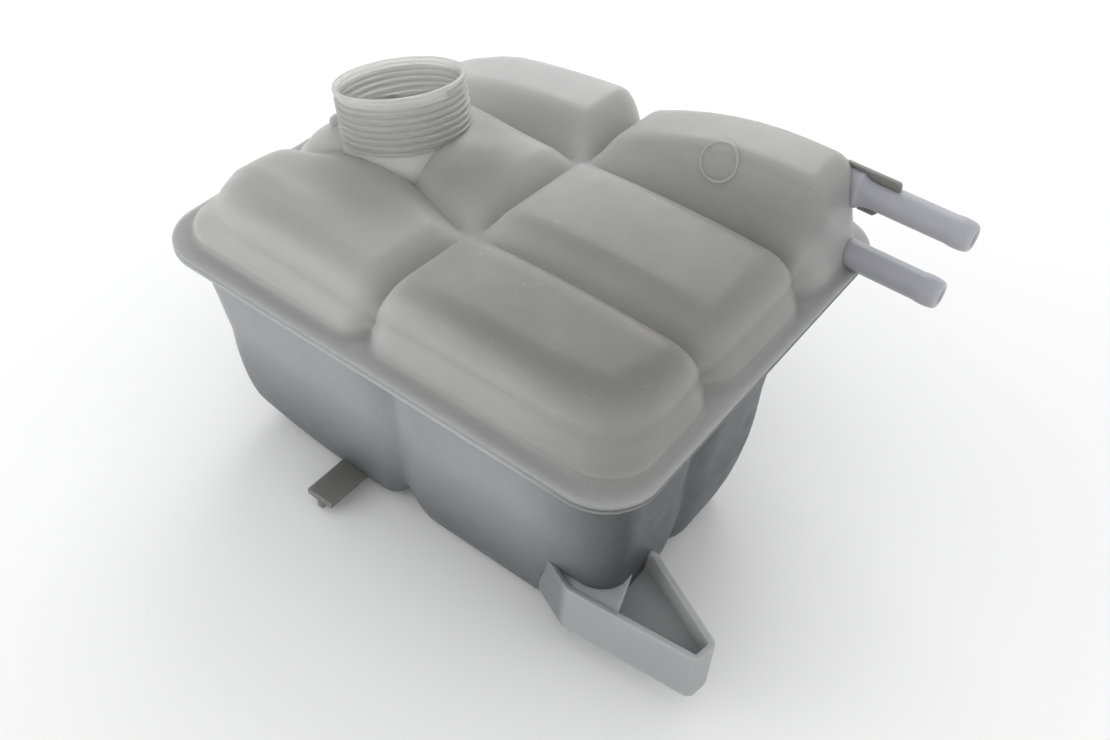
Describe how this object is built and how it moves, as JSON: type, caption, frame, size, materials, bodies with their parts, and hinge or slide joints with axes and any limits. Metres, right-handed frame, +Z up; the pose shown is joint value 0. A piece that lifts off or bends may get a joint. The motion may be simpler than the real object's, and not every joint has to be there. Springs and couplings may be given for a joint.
{
  "type": "coolant expansion tank",
  "caption": "Milky two-shell coolant expansion tank with a leaning threaded filler neck, hose spigots and a wedge mounting foot.",
  "frame": {"origin": "on the flat underside, below the middle of the whole tank with its spigots, foot and tab", "axes": "+X along the tank towards the vent spigots, +Y towards the back wall with the bottom outlet, +Z up"},
  "size_m": [0.2504, 0.203, 0.1526],
  "materials": {
    "upper_moulding": "natural milky polypropylene, soft satin",
    "lower_moulding": "natural milky polypropylene, soft satin"
  },
  "bodies": {
    "root": {"upper_shell": "upper_moulding", "lower_shell": "lower_moulding"}
  },
  "joints": []
}
